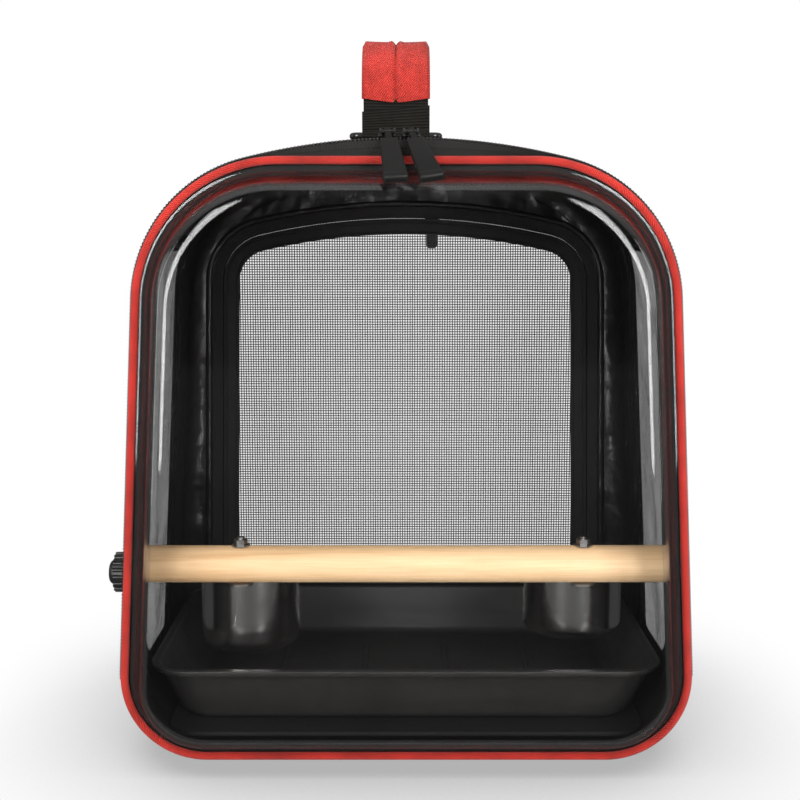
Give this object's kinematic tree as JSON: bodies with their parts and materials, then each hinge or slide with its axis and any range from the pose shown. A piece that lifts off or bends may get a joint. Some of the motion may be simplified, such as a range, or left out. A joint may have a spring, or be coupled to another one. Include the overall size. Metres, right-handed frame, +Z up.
{
  "type": "bird travel carrier",
  "caption": "Soft bird carrier with a zipped clear dome door, rear mesh door, carrying handle, wooden perch, steel feeding cups and a litter tray.",
  "frame": {"origin": "middle of the flat base, on the ground", "axes": "+X to the right seen from the clear front door, +Y to the back, +Z up"},
  "size_m": [0.4335, 0.3132, 0.5229],
  "materials": {
    "body_fabric": "black coated nylon, slightly shiny, wrinkled",
    "binding_tape": "black woven tape",
    "clear_sheet": "clear flexible sheet",
    "clear_dome": "clear moulded plastic",
    "zip_teeth": "black coil zip",
    "red_piping": "woven red piping",
    "red_wrap": "woven red wrap",
    "webbing": "black ribbed webbing",
    "black_mesh": "black coated mesh",
    "black_plastic": "black moulded plastic",
    "board": "covered stiff board",
    "tray_plastic": "satin black moulded plastic",
    "pale_wood": "pale turned wood",
    "cup_steel": "polished drawn steel",
    "bracket_steel": "zinc-plated steel",
    "black_metal": "black enamelled metal",
    "pull_rubber": "black moulded rubber"
  },
  "bodies": {
    "carrier_body": {"roof_panel": "body_fabric", "bottom_panel": "body_fabric", "left_side_panel": "body_fabric", "right_side_panel": "body_fabric", "back_panel": "body_fabric", "left_side_window": "clear_sheet", "right_side_window": "clear_sheet", "left_window_trim": "binding_tape", "right_window_trim": "binding_tape", "body_zip_teeth": "zip_teeth", "body_zip_tape": "binding_tape", "rear_zip_tape": "binding_tape", "rear_frame_teeth": "zip_teeth", "perch": "pale_wood", "perch_washers": "black_plastic", "perch_bolt": "black_plastic", "floor_board": "board", "left_cup_bracket": "bracket_steel", "right_cup_bracket": "bracket_steel", "cup_bolts": "bracket_steel", "cup_nuts": "bracket_steel", "cup_washers": "bracket_steel", "front_handle_ring": "black_plastic", "rear_handle_ring": "black_plastic", "front_handle_anchor": "webbing", "rear_handle_anchor": "webbing"},
    "front_door": {"clear_dome": "clear_dome", "flange_binding": "binding_tape", "door_piping": "red_piping", "piping_core": "black_plastic", "door_zip_tape": "binding_tape", "door_hinge_strip": "binding_tape", "door_zip_teeth": "zip_teeth"},
    "rear_door": {"rear_door_teeth": "zip_teeth", "rear_hinge_strip": "binding_tape", "rear_door_border": "body_fabric", "rear_mesh": "black_mesh"},
    "left_slider": {"left_slider": "black_metal"},
    "left_pull": {"left_pull": "pull_rubber"},
    "right_slider": {"right_slider": "black_metal"},
    "right_pull": {"right_pull": "pull_rubber"},
    "rear_slider": {"rear_slider": "black_metal"},
    "rear_pull": {"rear_pull": "black_metal"},
    "front_strap": {"front_strap": "webbing"},
    "grip": {"grip_webbing": "webbing", "grip_wrap": "red_wrap"},
    "rear_strap": {"rear_strap": "webbing"},
    "left_cup": {"left_cup": "cup_steel"},
    "right_cup": {"right_cup": "cup_steel"},
    "perch_knob": {"perch_knob": "black_plastic"},
    "litter_tray": {"litter_tray": "tray_plastic"}
  },
  "joints": [
    {"name": "front_door_hinge", "type": "hinge", "parent": "carrier_body", "child": "front_door", "pos_m": [0, -0.127, 0], "axis": [1, 0, 0], "range_deg": [0, 90]},
    {"name": "rear_door_hinge", "type": "hinge", "parent": "carrier_body", "child": "rear_door", "pos_m": [0, 0.127, 0.07135], "axis": [1, 0, 0], "range_deg": [-110, 0]},
    {"name": "left_slider_travel", "type": "hinge", "parent": "carrier_body", "child": "left_slider", "pos_m": [0, -0.127, -0.0205], "axis": [0, 1, 0], "range_deg": [-9, 0]},
    {"name": "left_pull_hinge", "type": "hinge", "parent": "left_slider", "child": "left_pull", "pos_m": [-0.013, -0.1336, 0.4497], "axis": [1, 0, 0], "range_deg": [-125, 0]},
    {"name": "right_slider_travel", "type": "hinge", "parent": "carrier_body", "child": "right_slider", "pos_m": [0, -0.127, -0.0205], "axis": [0, 1, 0], "range_deg": [0, 9]},
    {"name": "right_pull_hinge", "type": "hinge", "parent": "right_slider", "child": "right_pull", "pos_m": [0.003, -0.1336, 0.4497], "axis": [1, 0, 0], "range_deg": [-125, 0]},
    {"name": "rear_slider_travel", "type": "hinge", "parent": "rear_door", "child": "rear_slider", "pos_m": [0, 0.127, -0.181], "axis": [0, 1, 0], "range_deg": [-12, 6]},
    {"name": "rear_pull_hinge", "type": "hinge", "parent": "rear_slider", "child": "rear_pull", "pos_m": [0.024, 0.132, 0.3915], "axis": [1, 0, 0], "range_deg": [0, 120]},
    {"name": "handle_swing", "type": "hinge", "parent": "carrier_body", "child": "front_strap", "pos_m": [-0.0075, -0.079, 0.4498], "axis": [1, 0, 0], "range_deg": [-60, 60]},
    {"name": "grip_level", "type": "hinge", "parent": "front_strap", "child": "grip", "pos_m": [-0.0075, -0.079, 0.4738], "axis": [1, 0, 0], "range_deg": [-60, 60]},
    {"name": "rear_strap_swing", "type": "hinge", "parent": "carrier_body", "child": "rear_strap", "pos_m": [-0.0075, 0.079, 0.4498], "axis": [1, 0, 0], "range_deg": [-60, 60]},
    {"name": "left_cup_lift", "type": "slide", "parent": "carrier_body", "child": "left_cup", "axis": [0, 0, 1], "range_m": [0, 0.06]},
    {"name": "right_cup_lift", "type": "slide", "parent": "carrier_body", "child": "right_cup", "axis": [0, 0, 1], "range_m": [0, 0.06]},
    {"name": "perch_knob_turn", "type": "hinge", "parent": "carrier_body", "child": "perch_knob", "pos_m": [-0.205, -0.079, 0.1256], "axis": [-1, 0, 0], "continuous": true},
    {"name": "tray_slide", "type": "slide", "parent": "carrier_body", "child": "litter_tray", "axis": [0, -1, 0], "range_m": [0, 0.018]}
  ],
  "couplings": [
    {"joint": "grip_level", "follows": "handle_swing", "ratio": -1},
    {"joint": "rear_strap_swing", "follows": "handle_swing", "ratio": 1}
  ]
}
